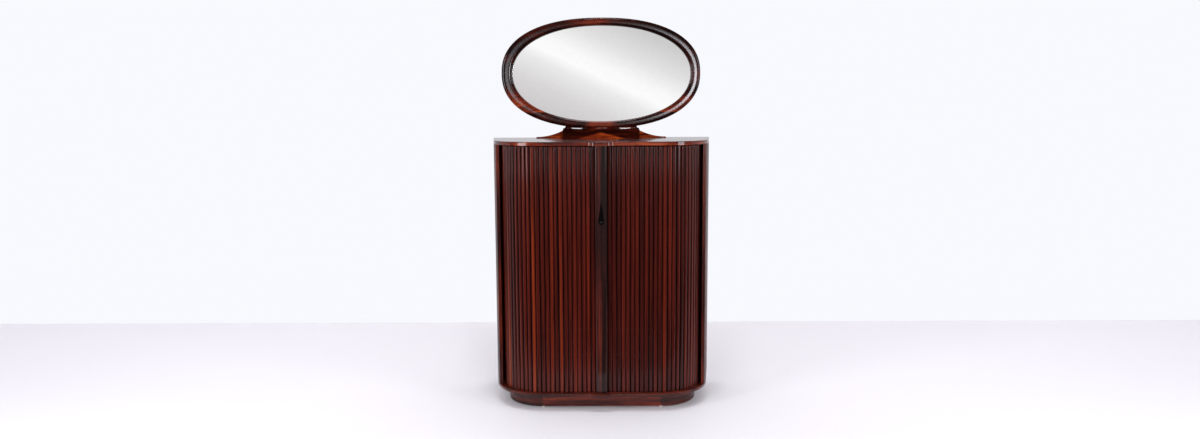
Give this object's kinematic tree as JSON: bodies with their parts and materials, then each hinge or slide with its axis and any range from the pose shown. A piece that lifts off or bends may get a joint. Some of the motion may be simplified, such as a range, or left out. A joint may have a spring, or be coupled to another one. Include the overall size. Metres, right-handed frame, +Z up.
{
  "type": "bachelor's chest",
  "caption": "Tall chest with rounded front corners, tambour doors that slide round into the sides, inner drawers and shelves, and a fixed oval mirror on a carved base.",
  "frame": {"origin": "on the floor, below the middle of the bounding box", "axes": "+X to the viewer's right, +Y to the back, +Z up; the doors face -Y"},
  "size_m": [1.0628, 0.494, 1.8099],
  "materials": {
    "rosewood": "glossy",
    "inner_wood": "satin",
    "dowel_wood": "satin",
    "glide_plastic": "matte",
    "brass": "satin",
    "steel": "satin",
    "mirror_glass": "polished"
  },
  "bodies": {
    "case": {"top_panel": "rosewood", "bottom_panel": "rosewood", "left_side": "rosewood", "right_side": "rosewood", "back_panel": "inner_wood", "plinth_front": "rosewood", "plinth_back": "rosewood", "plinth_left": "rosewood", "plinth_right": "rosewood", "floor_glides": "glide_plastic", "case_dowels": "dowel_wood", "left_pocket_wall": "inner_wood", "right_pocket_wall": "inner_wood", "centre_divider": "inner_wood", "inner_back": "inner_wood", "left_fixed_shelf": "inner_wood", "right_fixed_shelf": "inner_wood", "left_shelf": "inner_wood", "right_shelf": "inner_wood", "shelf_pins": "brass", "left_drawer_runners": "dowel_wood", "right_drawer_runners": "dowel_wood", "mirror_base": "rosewood", "mirror_frame": "rosewood", "mirror_glass": "mirror_glass", "mirror_back_board": "inner_wood", "mirror_clips": "brass", "mirror_dowels": "dowel_wood", "mirror_base_screws": "steel"},
    "left_door": {"left_stile": "rosewood"},
    "left_curtain_1": {"left_tambour_1": "rosewood"},
    "left_curtain_2": {"left_tambour_2": "rosewood"},
    "left_curtain_3": {"left_tambour_3": "rosewood"},
    "left_curtain_4": {"left_tambour_4": "rosewood"},
    "left_curtain_5": {"left_tambour_5": "rosewood"},
    "left_curtain_6": {"left_tambour_6": "rosewood"},
    "left_curtain_7": {"left_tambour_7": "rosewood"},
    "left_curtain_8": {"left_tambour_8": "rosewood"},
    "right_door": {"right_stile": "rosewood"},
    "right_curtain_1": {"right_tambour_1": "rosewood"},
    "right_curtain_2": {"right_tambour_2": "rosewood"},
    "right_curtain_3": {"right_tambour_3": "rosewood"},
    "right_curtain_4": {"right_tambour_4": "rosewood"},
    "right_curtain_5": {"right_tambour_5": "rosewood"},
    "right_curtain_6": {"right_tambour_6": "rosewood"},
    "right_curtain_7": {"right_tambour_7": "rosewood"},
    "right_curtain_8": {"right_tambour_8": "rosewood"},
    "left_drawer_1": {"left_drawer_1_front": "rosewood", "left_drawer_1_box": "dowel_wood"},
    "left_drawer_2": {"left_drawer_2_front": "rosewood", "left_drawer_2_box": "dowel_wood"},
    "left_drawer_3": {"left_drawer_3_front": "rosewood", "left_drawer_3_box": "dowel_wood"},
    "right_drawer_1": {"right_drawer_1_front": "rosewood", "right_drawer_1_box": "dowel_wood"},
    "right_drawer_2": {"right_drawer_2_front": "rosewood", "right_drawer_2_box": "dowel_wood"},
    "right_drawer_3": {"right_drawer_3_front": "rosewood", "right_drawer_3_box": "dowel_wood"}
  },
  "joints": [
    {"name": "left_door", "type": "hinge", "parent": "case", "child": "left_door", "pos_m": [-0.13645, 0.23284, 0.653], "axis": [0, 0, -1], "range_deg": [0, 54.92]},
    {"name": "left_curtain_1", "type": "hinge", "parent": "case", "child": "left_curtain_1", "pos_m": [-0.15873, 0.14562, 0.653], "axis": [0, 0, -1], "range_deg": [0, 68.02], "deforming": ["left_tambour_1"]},
    {"name": "left_curtain_2", "type": "hinge", "parent": "case", "child": "left_curtain_2", "pos_m": [-0.1898, 0.07086, 0.653], "axis": [0, 0, -1], "range_deg": [0, 86.28], "deforming": ["left_tambour_2"]},
    {"name": "left_curtain_3", "type": "hinge", "parent": "case", "child": "left_curtain_3", "pos_m": [-0.19615, 0.05985, 0.653], "axis": [0, 0, -1], "range_deg": [0, 90.01], "deforming": ["left_tambour_3"]},
    {"name": "left_curtain_4", "type": "hinge", "parent": "case", "child": "left_curtain_4", "pos_m": [-0.19615, 0.05985, 0.653], "axis": [0, 0, -1], "range_deg": [0, 90.01], "deforming": ["left_tambour_4"]},
    {"name": "left_curtain_5", "type": "hinge", "parent": "case", "child": "left_curtain_5", "pos_m": [-0.19645, 0.06237, 0.653], "axis": [0, 0, -1], "range_deg": [0, 89.57], "deforming": ["left_tambour_5"]},
    {"name": "left_curtain_6", "type": "hinge", "parent": "case", "child": "left_curtain_6", "pos_m": [-0.28242, 0.03875, 0.653], "axis": [0, 0, -1], "range_deg": [0, 122.17], "deforming": ["left_tambour_6"]},
    {"name": "left_curtain_7", "type": "hinge", "parent": "case", "child": "left_curtain_7", "pos_m": [-0.29843, 0.03522, 0.653], "axis": [0, 0, -1], "range_deg": [0, 129.39], "deforming": ["left_tambour_7"]},
    {"name": "left_curtain_8", "type": "hinge", "parent": "case", "child": "left_curtain_8", "pos_m": [-0.26396, 0.02392, 0.653], "axis": [0, 0, -1], "range_deg": [0, 111.14], "deforming": ["left_tambour_8"]},
    {"name": "right_door", "type": "hinge", "parent": "case", "child": "right_door", "pos_m": [0.13645, 0.23284, 0.653], "axis": [0, 0, 1], "range_deg": [0, 54.92]},
    {"name": "right_curtain_1", "type": "hinge", "parent": "case", "child": "right_curtain_1", "pos_m": [0.15873, 0.14562, 0.653], "axis": [0, 0, 1], "range_deg": [0, 68.02], "deforming": ["right_tambour_1"]},
    {"name": "right_curtain_2", "type": "hinge", "parent": "case", "child": "right_curtain_2", "pos_m": [0.1898, 0.07086, 0.653], "axis": [0, 0, 1], "range_deg": [0, 86.28], "deforming": ["right_tambour_2"]},
    {"name": "right_curtain_3", "type": "hinge", "parent": "case", "child": "right_curtain_3", "pos_m": [0.19615, 0.05985, 0.653], "axis": [0, 0, 1], "range_deg": [0, 90.01], "deforming": ["right_tambour_3"]},
    {"name": "right_curtain_4", "type": "hinge", "parent": "case", "child": "right_curtain_4", "pos_m": [0.19615, 0.05985, 0.653], "axis": [0, 0, 1], "range_deg": [0, 90.01], "deforming": ["right_tambour_4"]},
    {"name": "right_curtain_5", "type": "hinge", "parent": "case", "child": "right_curtain_5", "pos_m": [0.19645, 0.06237, 0.653], "axis": [0, 0, 1], "range_deg": [0, 89.57], "deforming": ["right_tambour_5"]},
    {"name": "right_curtain_6", "type": "hinge", "parent": "case", "child": "right_curtain_6", "pos_m": [0.28242, 0.03875, 0.653], "axis": [0, 0, 1], "range_deg": [0, 122.17], "deforming": ["right_tambour_6"]},
    {"name": "right_curtain_7", "type": "hinge", "parent": "case", "child": "right_curtain_7", "pos_m": [0.29843, 0.03522, 0.653], "axis": [0, 0, 1], "range_deg": [0, 129.39], "deforming": ["right_tambour_7"]},
    {"name": "right_curtain_8", "type": "hinge", "parent": "case", "child": "right_curtain_8", "pos_m": [0.26396, 0.02392, 0.653], "axis": [0, 0, 1], "range_deg": [0, 111.14], "deforming": ["right_tambour_8"]},
    {"name": "left_drawer_1_slide", "type": "slide", "parent": "case", "child": "left_drawer_1", "axis": [0, -1, 0], "range_m": [0, 0.12]},
    {"name": "left_drawer_2_slide", "type": "slide", "parent": "case", "child": "left_drawer_2", "axis": [0, -1, 0], "range_m": [0, 0.12]},
    {"name": "left_drawer_3_slide", "type": "slide", "parent": "case", "child": "left_drawer_3", "axis": [0, -1, 0], "range_m": [0, 0.12]},
    {"name": "right_drawer_1_slide", "type": "slide", "parent": "case", "child": "right_drawer_1", "axis": [0, -1, 0], "range_m": [0, 0.12]},
    {"name": "right_drawer_2_slide", "type": "slide", "parent": "case", "child": "right_drawer_2", "axis": [0, -1, 0], "range_m": [0, 0.12]},
    {"name": "right_drawer_3_slide", "type": "slide", "parent": "case", "child": "right_drawer_3", "axis": [0, -1, 0], "range_m": [0, 0.12]}
  ],
  "couplings": [
    {"joint": "left_curtain_1", "follows": "left_door", "ratio": 1.2385},
    {"joint": "left_curtain_2", "follows": "left_door", "ratio": 1.5709},
    {"joint": "left_curtain_3", "follows": "left_door", "ratio": 1.6389},
    {"joint": "left_curtain_4", "follows": "left_door", "ratio": 1.6389},
    {"joint": "left_curtain_5", "follows": "left_door", "ratio": 1.6309},
    {"joint": "left_curtain_6", "follows": "left_door", "ratio": 2.2245},
    {"joint": "left_curtain_7", "follows": "left_door", "ratio": 2.356},
    {"joint": "left_curtain_8", "follows": "left_door", "ratio": 2.0236},
    {"joint": "right_curtain_1", "follows": "right_door", "ratio": 1.2385},
    {"joint": "right_curtain_2", "follows": "right_door", "ratio": 1.5709},
    {"joint": "right_curtain_3", "follows": "right_door", "ratio": 1.6389},
    {"joint": "right_curtain_4", "follows": "right_door", "ratio": 1.6389},
    {"joint": "right_curtain_5", "follows": "right_door", "ratio": 1.6309},
    {"joint": "right_curtain_6", "follows": "right_door", "ratio": 2.2245},
    {"joint": "right_curtain_7", "follows": "right_door", "ratio": 2.356},
    {"joint": "right_curtain_8", "follows": "right_door", "ratio": 2.0236}
  ]
}
